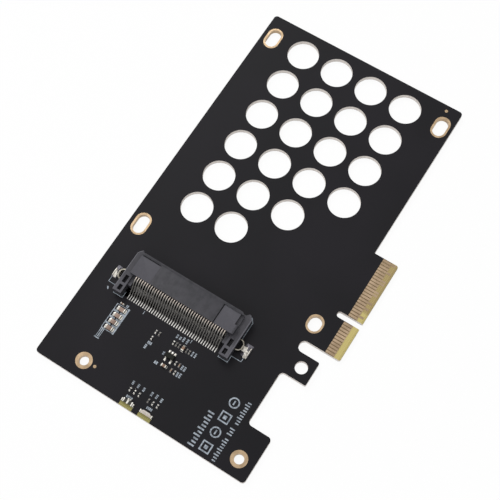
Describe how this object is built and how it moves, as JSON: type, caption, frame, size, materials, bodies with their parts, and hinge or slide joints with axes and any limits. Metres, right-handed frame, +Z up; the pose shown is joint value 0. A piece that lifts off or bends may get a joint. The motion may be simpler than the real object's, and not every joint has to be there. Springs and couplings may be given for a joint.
{
  "type": "nvme adapter card",
  "caption": "Flat expansion-slot card that carries a 2.5 inch solid-state drive: vented circuit board with a keyed card edge, plated drive slots and a right-angle drive socket.",
  "frame": {"origin": "under the middle of the board's bounding box, on its underside", "axes": "+X along the board from the bracket end to the far end, -Y towards the card-edge tongue, +Z up out of the component side"},
  "size_m": [0.1344, 0.0776, 0.0069],
  "materials": {
    "board": "charcoal solder mask over glass-epoxy laminate, semi-matte",
    "gold": "thin gold over copper, satin",
    "socket_plastic": "moulded liquid-crystal polymer, dark grey, fine matte",
    "contact_metal": "plated phosphor bronze, bright with a warm tone",
    "tin": "bright tin plate",
    "solder": "reflowed solder",
    "resistor_coat": "dark glass coat",
    "brown_ceramic": "brown ceramic",
    "tan_ceramic": "tan ceramic",
    "black_resin": "moulded black resin",
    "lamp_dark": "tinted clear resin",
    "lamp_cream": "cream translucent resin"
  },
  "bodies": {
    "root": {"circuit_board": "board", "edge_contacts_top": "gold", "edge_contacts_bottom": "gold", "drive_slot_plating": "gold", "bracket_hole_plating": "gold", "drive_socket_housing": "socket_plastic", "upper_contacts": "contact_metal", "lower_contacts": "contact_metal", "left_hold_down": "tin", "right_hold_down": "tin", "resistor_bodies": "resistor_coat", "capacitor_bodies": "brown_ceramic", "coupling_capacitor_bodies": "tan_ceramic", "resistor_terminals": "solder", "capacitor_terminals": "solder", "coupling_capacitor_terminals": "solder", "regulator_body": "black_resin", "regulator_leads": "tin", "left_lamp_case": "lamp_dark", "left_lamp_terminals": "solder", "right_lamp_case": "lamp_cream", "right_lamp_terminals": "solder"}
  },
  "joints": []
}
